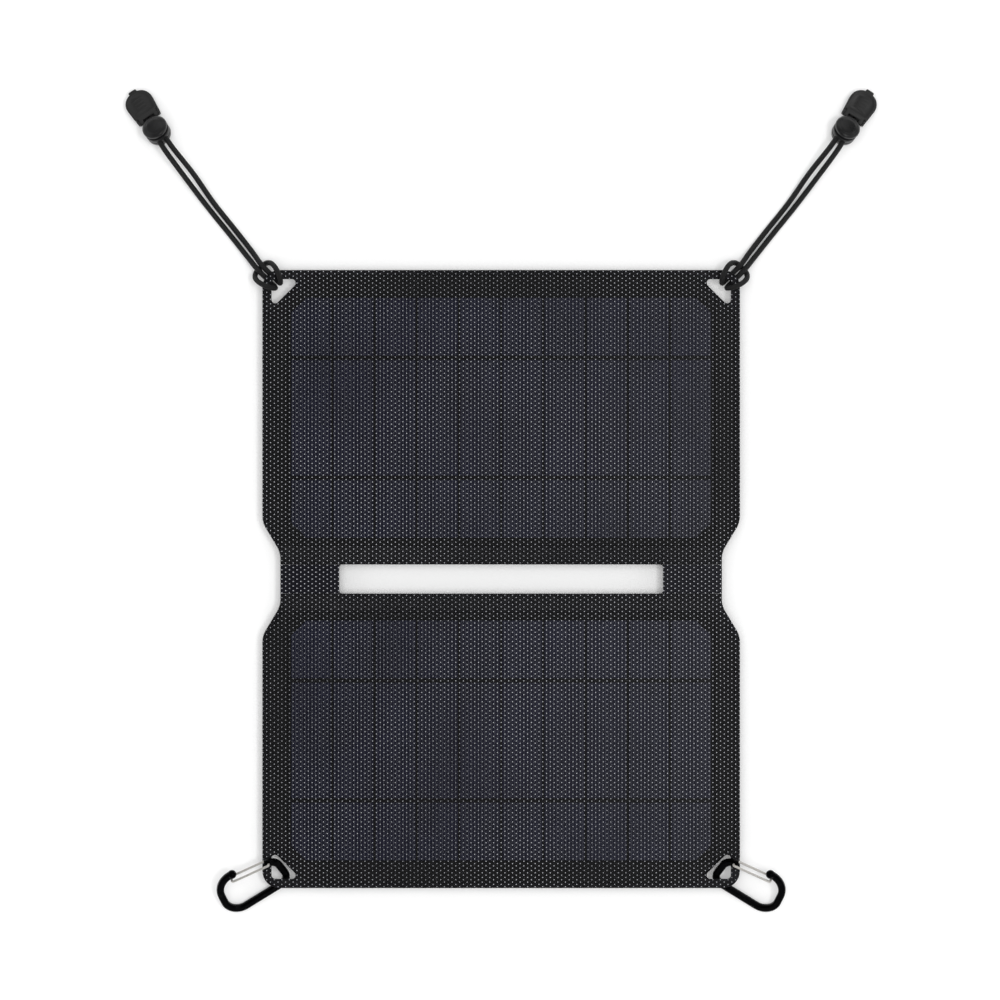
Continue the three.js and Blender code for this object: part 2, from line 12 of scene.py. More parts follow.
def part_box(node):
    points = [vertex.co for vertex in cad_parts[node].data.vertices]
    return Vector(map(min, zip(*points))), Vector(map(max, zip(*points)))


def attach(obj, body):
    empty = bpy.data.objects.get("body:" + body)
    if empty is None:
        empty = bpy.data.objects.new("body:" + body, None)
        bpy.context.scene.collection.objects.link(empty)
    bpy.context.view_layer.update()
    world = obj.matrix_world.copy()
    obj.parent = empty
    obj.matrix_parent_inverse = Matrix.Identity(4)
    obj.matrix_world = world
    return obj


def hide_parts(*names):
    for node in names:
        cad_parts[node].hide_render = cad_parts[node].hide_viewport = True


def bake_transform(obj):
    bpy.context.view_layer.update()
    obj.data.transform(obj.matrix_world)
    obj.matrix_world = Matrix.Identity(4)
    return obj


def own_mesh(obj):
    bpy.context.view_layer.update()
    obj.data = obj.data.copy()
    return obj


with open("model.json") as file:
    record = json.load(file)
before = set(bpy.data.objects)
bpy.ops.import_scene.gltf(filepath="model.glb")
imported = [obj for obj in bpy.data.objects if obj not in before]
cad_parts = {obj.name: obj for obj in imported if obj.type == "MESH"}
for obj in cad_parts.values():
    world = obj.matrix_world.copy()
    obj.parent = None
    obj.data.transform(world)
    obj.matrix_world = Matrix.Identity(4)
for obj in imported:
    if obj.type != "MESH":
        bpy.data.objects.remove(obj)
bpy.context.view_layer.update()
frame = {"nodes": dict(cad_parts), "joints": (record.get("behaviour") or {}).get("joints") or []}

bl_info = {
    "name": "Folding solar panel",
    "version": (1, 0, 0),
    "blender": (4, 5, 0),
    "location": "View3D > Sidebar > Solar panel",
    "description": "Builds the looks of a two-part folding solar panel round its frame",
    "category": "Object",
}

MM = 0.001
SIDES = (("left", 1), ("right", -1))
HALVES = ("lower", "upper")
JOINTS = {joint["name"]: joint for joint in frame["joints"]}
FOLD_Y = JOINTS["fold"]["pos_m"][1]
SHEET_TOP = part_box("upper_front_film")[1].z
SLOT_HALF_HEIGHT = 7.5 * MM

# Left cord's route in metres, the same points as the CAD tube; the right cord mirrors it.
CORD_DIAMETER = 2.8 * MM
CORD_ROUTE = [
    (-0.1833, 0.2427, 0.0029), (-0.1803, 0.2386, 0.0037), (-0.1774, 0.2341, 0.0068),
    (-0.1744, 0.2294, 0.0099), (-0.1710, 0.2246, 0.0106), (-0.1610, 0.2119, 0.0052),
    (-0.1504, 0.1966, 0.0019), (-0.1376, 0.1805, 0.0019), (-0.1299, 0.1706, 0.0036),
    (-0.1247, 0.1635, 0.0070), (-0.1191, 0.1579, 0.0062), (-0.1163, 0.1551, 0.0066),
    (-0.1151, 0.1543, 0.0090), (-0.1150, 0.1559, 0.0115), (-0.1157, 0.1585, 0.0122),
    (-0.1171, 0.1614, 0.0118), (-0.1189, 0.1638, 0.0100), (-0.1211, 0.1650, 0.0070),
    (-0.1234, 0.1646, 0.0043), (-0.1259, 0.1625, 0.0032), (-0.1280, 0.1600, 0.0043),
    (-0.1284, 0.1577, 0.0070), (-0.1272, 0.1555, 0.0100), (-0.1248, 0.1537, 0.0118),
    (-0.1219, 0.1523, 0.0122), (-0.1193, 0.1516, 0.0115), (-0.1177, 0.1517, 0.0090),
    (-0.1185, 0.1529, 0.0066), (-0.1213, 0.1557, 0.0062), (-0.1269, 0.1613, 0.0070),
    (-0.1326, 0.1683, 0.0036), (-0.1406, 0.1784, 0.0019), (-0.1536, 0.1945, 0.0019),
    (-0.1648, 0.2093, 0.0052), (-0.1744, 0.2224, 0.0106), (-0.1776, 0.2273, 0.0099),
    (-0.1806, 0.2320, 0.0068), (-0.1835, 0.2366, 0.0037), (-0.1862, 0.2408, 0.0029),
]
SAMPLES_PER_POINT = 12
RELIEF_SHARE = 0.4


# --- Settings ------------------------------------------------------------------------------

def length(name, description, default):
    return FloatProperty(name=name, description=description, default=default, unit="LENGTH", precision=5)


def colour(name, description, default):
    return FloatVectorProperty(name=name, description=description, default=default, subtype="COLOR", size=3)


def amount(name, description, default):
    return FloatProperty(name=name, description=description, default=default)


class SheetSettings(bpy.types.PropertyGroup):
    dot_spacing_x: length("Dot column spacing", "Distance between columns of dots in the film", 1.97 * MM)
    dot_spacing_y: length("Dot row spacing", "Distance between dots in one column", 2.41 * MM)
    dot_height: length("Dot height", "Height of the film's dots above the film", 0.10 * MM)
    finger_spacing: length("Finger spacing", "Distance between the lines printed on the cells", 1.70 * MM)
    cell_colour: colour("Cell colour", "Silicon under the film", (0.0035, 0.0041, 0.0175))
    # Painted highlight: pale colour painted on the tips of the film's dots in place of their glints
    painted_glint_colour: colour("Dot colour", "Light caught by the tips of the film's dots", (0.50, 0.51, 0.54))
    film_colour: colour("Film tint", "Tint of the clear film", (0.004, 0.004, 0.006))
    fabric_colour: colour("Fabric colour", "Woven back and inside of the fold", (0.0075, 0.0075, 0.009))


class CordSettings(bpy.types.PropertyGroup):
    cord_colour: colour("Cord colour", "Braided sleeve of the elastic cord", (0.010, 0.010, 0.0105))
    braid_pitch: length("Braid pitch", "Length of one braid crossing along the cord", 1.1 * MM)
    lock_colour: colour("Lock colour", "Moulded cord lock", (0.011, 0.011, 0.0115))
    clip_colour: colour("Clip colour", "Moulded end clip", (0.018, 0.018, 0.018))


class HardwareSettings(bpy.types.PropertyGroup):
    anodised_colour: colour("Anodised colour", "Carabiner bar", (0.006, 0.006, 0.007))
    wire_colour: colour("Wire colour", "Carabiner gate wire", (0.62, 0.60, 0.57))
    box_colour: colour("Box colour", "Moulded USB box", (0.022, 0.022, 0.024))


class StageSettings(bpy.types.PropertyGroup):
    view_width: length("View width", "Width of the ground that the camera takes in", 0.521)
    camera_height: length("Camera height", "Camera above the sheet", 1.9)
    fill_strength: amount("Fill strength", "Even light from all round", 0.62)
    key_power: amount("Key power", "Distant lamp that picks out the film's dots", 22.0)
    overhead_power: amount("Overhead power", "Softbox that gives no gloss", 30.0)
    side_power: amount("Side power", "Each of the four low softboxes", 3.0)
    floor_colour: colour("Floor colour", "Plain pale floor", (0.92, 0.92, 0.92))


SETTINGS = {"solar_sheet": SheetSettings, "solar_cord": CordSettings, "solar_hardware": HardwareSettings,
            "solar_stage": StageSettings}


# --- Materials -----------------------------------------------------------------------------

class Finish:
    """A material with short ways to add nodes; every value goes on the node's own socket."""

    def __init__(self, name, base, roughness, **inputs):
        self.material = bpy.data.materials.new(name)
        self.material.use_nodes = True
        self.tree = self.material.node_tree
        self.shader = self.tree.nodes["Principled BSDF"]
        self.set("Base Color", base)
        self.set("Roughness", roughness)
        for socket, value in inputs.items():
            self.set(socket.replace("_", " "), value)

    def set(self, socket, value):
        self.feed(self.shader.inputs[socket], value)

    def feed(self, socket, value):
        if isinstance(value, bpy.types.NodeSocket):
            self.tree.links.new(value, socket)
        elif socket.type == "RGBA" and len(value) == 3:
            socket.default_value = (*value, 1)
        else:
            socket.default_value = value

    def node(self, kind, inputs=(), output=0, **settings):
        node = self.tree.nodes.new(kind)
        for name, value in settings.items():
            setattr(node, name, value)
        for key, value in dict(inputs).items():
            self.feed(node.inputs[key], value)
        return node.outputs[output]

    def math(self, operation, first, second=0.0, third=0.0):
        return self.node("ShaderNodeMath", {0: first, 1: second, 2: third}, operation=operation)

    def place(self):
        return self.node("ShaderNodeTexCoord", output="Object")

    def uv(self):
        return self.node("ShaderNodeTexCoord", output="UV")

    def split(self, vector):
        node = self.tree.nodes.new("ShaderNodeSeparateXYZ")
        self.feed(node.inputs[0], vector)
        return node.outputs

    def noise(self, scale, detail=3.0, vector=None):
        inputs = {"Vector": vector or self.place(), "Scale": scale, "Detail": detail}
        return self.node("ShaderNodeTexNoise", inputs)

    def span(self, value, low, high, to_low, to_high):
        names = ("Value", "From Min", "From Max", "To Min", "To Max")
        return self.node("ShaderNodeMapRange", dict(zip(names, (value, low, high, to_low, to_high))))

    def mix(self, factor, first, second):
        node = self.tree.nodes.new("ShaderNodeMix")
        node.data_type = "RGBA"
        self.feed(node.inputs["Factor"], factor)
        self.feed(node.inputs[6], first)
        self.feed(node.inputs[7], second)
        return node.outputs[2]

    def bump(self, height, distance, strength=1.0):
        normal = self.node("ShaderNodeBump", {"Height": height, "Distance": distance, "Strength": strength})
        self.set("Normal", normal)

    def ridge(self, coordinate, pitch):
        """1 on a line every pitch, falling to 0 half-way between."""
        cycle = self.math("FRACT", self.math("DIVIDE", coordinate, pitch))
        return self.math("MULTIPLY", self.math("ABSOLUTE", self.math("SUBTRACT", cycle, 0.5)), 2.0)


def shade(colour_value, factor):
    return tuple(min(1.0, channel * factor) for channel in colour_value)


def dot_pattern(finish, settings):
    """1 on each dot of the film, 0 in the flat hollows between them; a triangular lattice of round domes."""
    x, y, _ = finish.split(finish.place())
    across = finish.math("MULTIPLY", x, math.pi / settings.dot_spacing_x)
    along = finish.math("MULTIPLY", finish.math("SUBTRACT", y, FOLD_Y), 2 * math.pi / settings.dot_spacing_y)
    crossed = finish.math("MULTIPLY", finish.math("COSINE", across), finish.math("COSINE", along))
    double = finish.math("COSINE", finish.math("MULTIPLY", across, 2.0))
    wave = finish.math("DIVIDE", finish.math("MULTIPLY_ADD", crossed, 2.0, double), 3.0)
    return finish.math("MAXIMUM", wave, 0.0)


def film_finish(settings, opaque=False):
    """Clear film with raised dots whose tips carry a painted highlight, a pale and nearly opaque base colour
    on top of their real gloss; over the soft fold nothing shows through it.
    """
    base = shade(settings.film_colour, 1.6) if opaque else settings.film_colour
    finish = Finish("fold_film" if opaque else "clear_film", base, 0.3, IOR=1.27)
    dots = dot_pattern(finish, settings)
    # Patches where the painted highlight on the dots is stronger or weaker
    patch = finish.span(finish.noise(13.0, 2.0), 0.32, 0.68, 0.75, 1.25)
    # Painted highlight: the top of each dot takes the pale glint colour
    painted_glint = finish.math("MULTIPLY", finish.span(dots, 0.76, 0.95, 0.0, 1.0), patch)
    finish.set("Base Color", finish.mix(painted_glint, base, settings.painted_glint_colour))
    if not opaque:
        # The painted highlight is made nearly opaque so it shows over the cells
        finish.set("Alpha", finish.span(painted_glint, 0.0, 1.0, 0.16, 0.95))
    finish.set("Roughness", finish.span(finish.noise(60.0), 0.3, 0.7, 0.26, 0.36))
    grain = finish.math("MULTIPLY", finish.noise(1500.0, 2.0), 0.08)
    finish.bump(finish.math("ADD", dots, grain), settings.dot_height)
    return finish.material


def film_edge_finish(settings):
    finish = Finish("film_edge", shade(settings.film_colour, 2.0), 0.45)
    finish.bump(finish.noise(900.0), 0.00005, 0.5)
    return finish.material


def film_inside_finish():
    """Underside of the clear film, almost nothing of it seen, with the glue's faint cloudiness."""
    finish = Finish("film_inside", (0.02, 0.02, 0.025), 1.0)
    cloud = finish.noise(120.0, 3.0)
    finish.set("Base Color", finish.mix(cloud, (0.015, 0.015, 0.019), (0.025, 0.025, 0.031)))
    finish.set("Alpha", finish.span(cloud, 0.3, 0.7, 0.01, 0.03))
    return finish.material


def cell_finish(settings):
    """Dark blue silicon with fine printed lines along the strip and a faint crystal mottling."""
    finish = Finish("silicon_cell", settings.cell_colour, 0.4)
    x, y, _ = finish.split(finish.place())
    line = finish.math("GREATER_THAN", finish.ridge(x, settings.finger_spacing), 0.86)
    mottle = finish.span(finish.noise(45.0, 4.0), 0.3, 0.7, 0.75, 1.3)
    grain = finish.span(finish.noise(700.0, 2.0), 0.3, 0.7, 0.9, 1.1)
    tone = finish.math("MULTIPLY", mottle, grain)
    silicon = finish.node("ShaderNodeVectorMath", {0: settings.cell_colour, "Scale": tone}, operation="SCALE")
    finish.set("Base Color", finish.mix(line, silicon, (0.050, 0.052, 0.070)))
    finish.set("Roughness", finish.span(line, 0.0, 1.0, 0.42, 0.3))
    finish.bump(line, 0.00004, 0.4)
    return finish.material


def ribbon_finish():
    finish = Finish("cell_ribbon", (0.01, 0.01, 0.012), 0.45, Metallic=0.3)
    streak = finish.noise(900.0, 3.0)
    finish.set("Base Color", finish.mix(streak, (0.002, 0.002, 0.003), (0.009, 0.009, 0.011)))
    finish.bump(streak, 0.00004, 0.5)
    return finish.material


def weave(finish, pitch):
    """Height of a plain weave in the sheet's plane: threads of each direction take turns on top."""
    x, y, _ = finish.split(finish.place())
    across = finish.math("SINE", finish.math("MULTIPLY", x, math.pi / pitch))
    along = finish.math("SINE", finish.math("MULTIPLY", y, math.pi / pitch))
    return finish.math("ADD", finish.math("MULTIPLY", finish.math("MULTIPLY", across, along), 0.5), 0.5)


def fabric_finish(settings):
    finish = Finish("back_weave", settings.fabric_colour, 0.75)
    height = weave(finish, 0.5 * MM)
    fuzz = finish.noise(1800.0, 3.0)
    patch = finish.span(finish.noise(14.0), 0.3, 0.7, 0.8, 1.25)
    # Painted shade and highlight: the weave's low hollows are painted darker and the raised threads lighter
    painted_hollow_shade, light = shade(settings.fabric_colour, 0.5), shade(settings.fabric_colour, 1.9)
    shaded_threads = finish.mix(height, painted_hollow_shade, light)
    woven = finish.node("ShaderNodeVectorMath", {0: shaded_threads, "Scale": patch}, operation="SCALE")
    finish.set("Base Color", woven)
    finish.set("Roughness", finish.span(fuzz, 0.3, 0.7, 0.65, 0.85))
    finish.bump(finish.math("ADD", height, finish.math("MULTIPLY", fuzz, 0.3)), 0.00012, 0.7)
    return finish.material


def board_finish():
    finish = Finish("glass_fibre_board", (0.006, 0.006, 0.007), 0.6)
    height = weave(finish, 0.7 * MM)
    # Painted shade: the low parts of the weave are painted darker and the high parts lighter
    finish.set("Base Color", finish.mix(height, (0.002, 0.002, 0.0024), (0.006, 0.006, 0.0075)))
    finish.bump(height, 0.00005, 0.4)
    return finish.material


def plastic_finish(name, base, roughness=0.45, grain=0.00003):
    """Moulded plastic with a fine grain and slightly uneven gloss."""
    finish = Finish(name, base, roughness)
    speck = finish.noise(2200.0, 2.0)
    cloud = finish.noise(90.0, 3.0)
    finish.set("Base Color", finish.mix(cloud, shade(base, 0.8), shade(base, 1.25)))
    finish.set("Roughness", finish.span(cloud, 0.3, 0.7, roughness - 0.06, roughness + 0.07))
    finish.bump(speck, grain, 0.5)
    return finish.material


def metal_finish(name, base, roughness, wear=None):
    finish = Finish(name, base, roughness, Metallic=1.0)
    scuff = finish.noise(400.0, 6.0)
    tint = wear or shade(base, 0.75)
    finish.set("Base Color", finish.mix(finish.span(scuff, 0.55, 0.8, 0.0, 1.0), base, tint))
    wear = finish.noise(150.0, 5.0)
    finish.set("Roughness", finish.span(wear, 0.3, 0.7, roughness - 0.06, roughness + 0.1))
    finish.bump(finish.noise(3000.0, 2.0), 0.00001, 0.3)
    return finish.material


def circuit_finish():
    finish = Finish("circuit_mask", (0.004, 0.05, 0.018), 0.35)
    x, y, z = finish.split(finish.place())
    track = finish.math("GREATER_THAN", finish.ridge(finish.math("ADD", x, y), 2.2 * MM), 0.8)
    above = finish.math("GREATER_THAN", z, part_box("circuit_board")[0].z + 1.05 * MM)
    green = finish.mix(track, (0.004, 0.05, 0.018), (0.008, 0.09, 0.03))
    finish.set("Base Color", finish.mix(above, green, (0.01, 0.01, 0.011)))
    finish.bump(track, 0.00004, 0.4)
    return finish.material


def light_finish():
    finish = Finish("indicator_lens", (0.05, 0.5, 0.14), 0.15, Coat_Weight=0.5)
    glow = finish.noise(700.0)
    finish.set("Base Color", finish.mix(glow, (0.03, 0.35, 0.09), (0.09, 0.6, 0.2)))
    return finish.material


def cord_finish(settings, length_m):
    """Braided sleeve: two sets of diagonal strands crossing round the cord, read from the tube's own UV."""
    finish = Finish("elastic_braid", settings.cord_colour, 0.7)
    along, around, _ = finish.split(finish.uv())
    turns = finish.math("MULTIPLY", along, length_m / settings.braid_pitch)
    strands = finish.math("MULTIPLY", around, 6.0)
    rising = finish.math("SINE", finish.math("MULTIPLY", finish.math("ADD", turns, strands), math.pi))
    falling = finish.math("SINE", finish.math("MULTIPLY", finish.math("SUBTRACT", turns, strands), math.pi))
    height = finish.math("ABSOLUTE", finish.math("MULTIPLY", rising, falling))
    # Painted shade and highlight: the braid's hollows are painted darker and the raised strands lighter
    painted_hollow_shade, light = shade(settings.cord_colour, 0.45), shade(settings.cord_colour, 1.8)
    finish.set("Base Color", finish.mix(height, painted_hollow_shade, light))
    fuzz = finish.noise(5000.0, 2.0)
    finish.bump(finish.math("ADD", height, finish.math("MULTIPLY", fuzz, 0.2)), 0.00016, 0.9)
    return finish.material


# --- Meshes --------------------------------------------------------------------------------

def object_from(bm, name, materials):
    mesh = bpy.data.meshes.new(name)
    bm.to_mesh(mesh)
    bm.free()
    for material in materials:
        mesh.materials.append(material)
    piece = bpy.data.objects.new(name, mesh)
    bpy.context.scene.collection.objects.link(piece)
    return piece


def copy_of_node(node):
    """The CAD node's solid as a bmesh with its loose triangles joined."""
    bm = bmesh.new()
    bm.from_mesh(frame["nodes"][node].data)
    bmesh.ops.remove_doubles(bm, verts=bm.verts, dist=1e-6)
    return bm


def apply_modifiers(piece):
    graph = bpy.context.evaluated_depsgraph_get()
    made = bpy.data.meshes.new_from_object(piece.evaluated_get(graph))
    piece.modifiers.clear()
    old, piece.data = piece.data, made
    made.name = piece.name
    bpy.data.meshes.remove(old)


def cut(piece, *cutters, operation="DIFFERENCE"):
    for cutter in cutters:
        modifier = piece.modifiers.new("cut", "BOOLEAN")
        modifier.operation = operation
        modifier.solver = "MANIFOLD"
        modifier.object = cutter
        apply_modifiers(piece)
        bpy.data.objects.remove(cutter)


def round_edges(piece, width, segments=3, angle=35):
    modifier = piece.modifiers.new("rounding", "BEVEL")
    modifier.width = width
    modifier.segments = segments
    modifier.limit_method = "ANGLE"
    modifier.angle_limit = math.radians(angle)
    modifier.harden_normals = False
    apply_modifiers(piece)


def smooth(piece, angle=35):
    for polygon in piece.data.polygons:
        polygon.use_smooth = True
    piece.data.set_sharp_from_angle(angle=math.radians(angle))


def add_box(bm, low, high):
    made = bmesh.ops.create_cube(bm, size=1)["verts"]
    size = [b - a for a, b in zip(low, high)]
    middle = [(a + b) / 2 for a, b in zip(low, high)]
    bmesh.ops.scale(bm, vec=size, verts=made)
    bmesh.ops.translate(bm, vec=middle, verts=made)
    return made


def box_object(low, high, name="cutter"):
    bm = bmesh.new()
    add_box(bm, low, high)
    return object_from(bm, name, [])


def add_cylinder(bm, radius, depth, centre, axis="Z", segments=32):
    turns = {
        "Z": Matrix(),
        "X": Matrix.Rotation(math.pi / 2, 4, "Y"),
        "Y": Matrix.Rotation(math.pi / 2, 4, "X"),
    }
    place = Matrix.Translation(centre) @ turns[axis]
    return bmesh.ops.create_cone(
        bm, cap_ends=True, cap_tris=False, segments=segments,
        radius1=radius, radius2=radius, depth=depth, matrix=place,
    )["verts"]


def cylinder_object(radius, depth, centre, axis="Z", segments=32):
    bm = bmesh.new()
    add_cylinder(bm, radius, depth, centre, axis, segments)
    return object_from(bm, "cutter", [])


def spun(profile, steps=64):
    """A solid of revolution about Z from a profile of (radius, height) that starts and ends on the axis."""
    bm = bmesh.new()
    verts = [bm.verts.new((radius, 0, height)) for radius, height in profile]
    edges = [bm.edges.new(pair) for pair in zip(verts, verts[1:])]
    bmesh.ops.spin(
        bm, geom=verts + edges, cent=(0, 0, 0), axis=(0, 0, 1), dvec=(0, 0, 0),
        angle=2 * math.pi, steps=steps, use_merge=True,
    )
    bmesh.ops.remove_doubles(bm, verts=bm.verts, dist=1e-7)
    bmesh.ops.recalc_face_normals(bm, faces=bm.faces)
    return bm


def rounded_outline(corners, steps=8):
    """Points of a closed outline; each corner is (x, y, radius)."""
    points = []
    count = len(corners)
    for index, (x, y, radius) in enumerate(corners):
        corner = Vector((x, y))
        if radius <= 0:
            points.append(corner)
            continue
        back = (Vector(corners[index - 1][:2]) - corner).normalized()
        ahead = (Vector(corners[(index + 1) % count][:2]) - corner).normalized()
        half = math.acos(max(-1, min(1, back.dot(ahead)))) / 2
        centre = corner + (back + ahead).normalized() * radius / math.sin(half)
        start = corner + back * radius / math.tan(half) - centre
        end = corner + ahead * radius / math.tan(half) - centre
        sweep = start.angle_signed(end)
        for step in range(steps + 1):
            turned = start.copy()
            turned.rotate(Matrix.Rotation(-sweep * step / steps, 2))
            points.append(centre + turned)
    return points


def plate(corners, bottom, top, steps=8):
    """A flat solid with a rounded outline."""
    bm = bmesh.new()
    verts = [bm.verts.new((point.x, point.y, bottom)) for point in rounded_outline(corners, steps)]
    face = bm.faces.new(verts)
    grown = bmesh.ops.extrude_face_region(bm, geom=[face])["geom"]
    lifted = [part for part in grown if isinstance(part, bmesh.types.BMVert)]
    bmesh.ops.translate(bm, vec=(0, 0, top - bottom), verts=lifted)
    bmesh.ops.recalc_face_normals(bm, faces=bm.faces)
    return bm


def transform_piece(piece, matrix, mirror=1):
    """Puts a piece made in its own frame in place on the left, or mirrored on the right."""
    if mirror < 0:
        matrix = Matrix.Scale(-1, 4, (1, 0, 0)) @ matrix
    piece.data.transform(matrix)
    if mirror < 0:
        piece.data.flip_normals()


def tube(points, radius, name, materials, sides=16):
    """A closed tube along a list of points, with UV running along and round it."""
    curve = bpy.data.curves.new(name, "CURVE")
    curve.dimensions = "3D"
    curve.bevel_depth = radius
    curve.bevel_resolution = max(0, sides // 4 - 1)
    curve.use_fill_caps = True
    spline = curve.splines.new("POLY")
    spline.points.add(len(points) - 1)
    for spot, point in zip(spline.points, points):
        spot.co = (*point, 1)
    holder = bpy.data.objects.new(name, curve)
    bpy.context.scene.collection.objects.link(holder)
    graph = bpy.context.evaluated_depsgraph_get()
    mesh = bpy.data.meshes.new_from_object(holder.evaluated_get(graph))
    bpy.data.objects.remove(holder)
    mesh.materials.clear()
    for material in materials:
        mesh.materials.append(material)
    piece = bpy.data.objects.new(name, mesh)
    bpy.context.scene.collection.objects.link(piece)
    return piece


def flat_sweep(points, section):
    """A closed bar along a path lying flat; section gives (across, up) offsets round it."""
    bm = bmesh.new()
    rings = []
    for index, point in enumerate(points):
        ahead = (points[min(index + 1, len(points) - 1)] - points[max(index - 1, 0)]).normalized()
        side = Vector((-ahead.y, ahead.x))
        rings.append([bm.verts.new((*(point + side * across), up)) for across, up in section])
    count = len(section)
    for first, second in zip(rings, rings[1:]):
        for corner in range(count):
            after = (corner + 1) % count
            bm.faces.new((first[corner], first[after], second[after], second[corner]))
    bm.faces.new(rings[0][::-1])
    bm.faces.new(rings[-1])
    bmesh.ops.recalc_face_normals(bm, faces=bm.faces)
    return bm


def smooth_route(points, samples):
    """Centripetal Catmull-Rom curve through the points."""
    knots = [Vector(point) for point in points]
    knots = [2 * knots[0] - knots[1], *knots, 2 * knots[-1] - knots[-2]]
    route = []
    for p0, p1, p2, p3 in zip(knots, knots[1:], knots[2:], knots[3:]):
        t1 = (p1 - p0).length ** 0.5
        t2 = t1 + (p2 - p1).length ** 0.5
        t3 = t2 + (p3 - p2).length ** 0.5
        for step in range(samples):
            t = t1 + (t2 - t1) * step / samples
            a1 = p0.lerp(p1, t / t1)
            a2 = p1.lerp(p2, (t - t1) / (t2 - t1))
            a3 = p2.lerp(p3, (t - t2) / (t3 - t2))
            b1 = a1.lerp(a2, t / t2)
            b2 = a2.lerp(a3, (t - t1) / (t3 - t1))
            route.append(b1.lerp(b2, (t - t1) / (t2 - t1)))
    route.append(knots[-2])
    return route


def paint(nodes, material):
    """Gives CAD nodes a finish of their own."""
    for node in nodes:
        mesh = frame["nodes"][node].data
        mesh.materials.clear()
        mesh.materials.append(material)


def fit(piece, body, slot_name, *nodes):
    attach(piece, body)
    if nodes:
        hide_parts(*nodes)
    return piece


# --- Stage ---------------------------------------------------------------------------------

class SOLAR_OT_stage(bpy.types.Operator):
    """Pale floor, soft lights and a camera looking straight down"""

    bl_idname = "solar.stage"
    bl_label = "Stage"

    def execute(self, context):
        settings = context.scene.solar_stage
        scene = context.scene
        scene.view_settings.view_transform = "Standard"
        floor_finish = Finish("pale_floor", settings.floor_colour, 0.9)
        floor_finish.bump(floor_finish.noise(300.0), 0.0001, 0.05)
        bm = bmesh.new()
        bmesh.ops.create_grid(bm, x_segments=1, y_segments=1, size=4)
        floor = object_from(bm, "floor", [floor_finish.material])

        middle = (-0.6 * MM, FOLD_Y + 41.2 * MM)
        camera_data = bpy.data.cameras.new("camera")
        camera_data.sensor_width = 36
        camera_data.lens = 36 * settings.camera_height / settings.view_width
        camera = bpy.data.objects.new("camera", camera_data)
        camera.location = (*middle, SHEET_TOP + settings.camera_height)
        scene.collection.objects.link(camera)
        scene.camera = camera

        self.light(scene, "key_softbox", (1.24, -0.15, 3.8), (0.5, 0.5), settings.key_power)
        overhead = self.light(scene, "overhead_softbox", (0, 0.05, 2.6), (1.8, 1.8), settings.overhead_power)
        overhead.visible_glossy = False
        for name, turn in (("right", 0), ("top", 90), ("left", 180), ("bottom", 270)):
            around = Matrix.Rotation(math.radians(turn), 3, "Z")
            spot = around @ Vector((1.5, 0, 0.75))
            self.light(scene, f"{name}_softbox", spot, (2.0, 0.8), settings.side_power)
        world = bpy.data.worlds.new("studio")
        scene.world = world
        world.use_nodes = True
        world.cycles_visibility.glossy = False
        background = world.node_tree.nodes["Background"]
        background.inputs["Color"].default_value = (1.0, 1.0, 1.0, 1)
        background.inputs["Strength"].default_value = settings.fill_strength
        return {"FINISHED"}

    @staticmethod
    def light(scene, name, place, size, power):
        data = bpy.data.lights.new(name, "AREA")
        data.shape = "RECTANGLE"
        data.size, data.size_y = size
        data.energy = power
        lamp = bpy.data.objects.new(name, data)
        lamp.location = place
        lamp.rotation_euler = (-Vector(place)).to_track_quat("-Z", "Y").to_euler()
        scene.collection.objects.link(lamp)
        return lamp


# --- Sheet ---------------------------------------------------------------------------------

def dot_height(x, y, settings):
    """Height of the film's moulded relief, which the finish sharpens into round dots."""
    across = np.cos(np.pi * x / settings.dot_spacing_x)
    along = np.cos(2 * np.pi * y / settings.dot_spacing_y)
    return RELIEF_SHARE * settings.dot_height * across * along


def dotted_cutter(low, high, settings):
    """A block whose underside is the film's dotted surface, to cut the film's top with."""
    step_x, step_y = settings.dot_spacing_x / 2, settings.dot_spacing_y / 4
    first_x, first_y = math.floor(low[0] / step_x) - 1, math.floor((low[1] - FOLD_Y) / step_y) - 1
    columns = math.ceil(high[0] / step_x) + 1 - first_x
    rows = math.ceil((high[1] - FOLD_Y) / step_y) + 1 - first_y
    bm = bmesh.new()
    bmesh.ops.create_grid(bm, x_segments=columns, y_segments=rows, size=0.5)
    bmesh.ops.scale(bm, vec=(columns * step_x, rows * step_y, 1), verts=bm.verts)
    middle = ((first_x + columns / 2) * step_x, FOLD_Y + (first_y + rows / 2) * step_y, SHEET_TOP)
    bmesh.ops.translate(bm, vec=middle, verts=bm.verts)
    under = list(bm.faces)
    lifted = bmesh.ops.extrude_face_region(bm, geom=under)["geom"]
    top = [v for v in lifted if isinstance(v, bmesh.types.BMVert)]
    top_set = set(top)
    bmesh.ops.translate(bm, vec=(0, 0, 3 * MM), verts=top)
    for vert in bm.verts:
        if vert not in top_set:
            vert.co.z += float(dot_height(vert.co.x, vert.co.y - FOLD_Y, settings))
    bmesh.ops.recalc_face_normals(bm, faces=bm.faces)
    return object_from(bm, "dotted_cutter", [])


def dotted_film(node, name, settings, materials):
    """The CAD film with its flat top swapped for the dotted surface."""
    bm = copy_of_node(node)
    for vert in bm.verts:
        if vert.co.z > SHEET_TOP - 0.01 * MM:
            vert.co.z += settings.dot_height
    piece = object_from(bm, name, [])
    low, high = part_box(node)
    cut(piece, dotted_cutter(low, high, settings))
    piece.data.materials.clear()
    for material in materials:
        piece.data.materials.append(material)
    for polygon in piece.data.polygons:
        on_top = polygon.center.z > SHEET_TOP - 0.2 * MM and polygon.normal.z > 0.3
        upright = abs(polygon.normal.z) < 0.5
        polygon.material_index = 0 if on_top else (1 if upright else 2)
    smooth(piece, 40)
    return piece


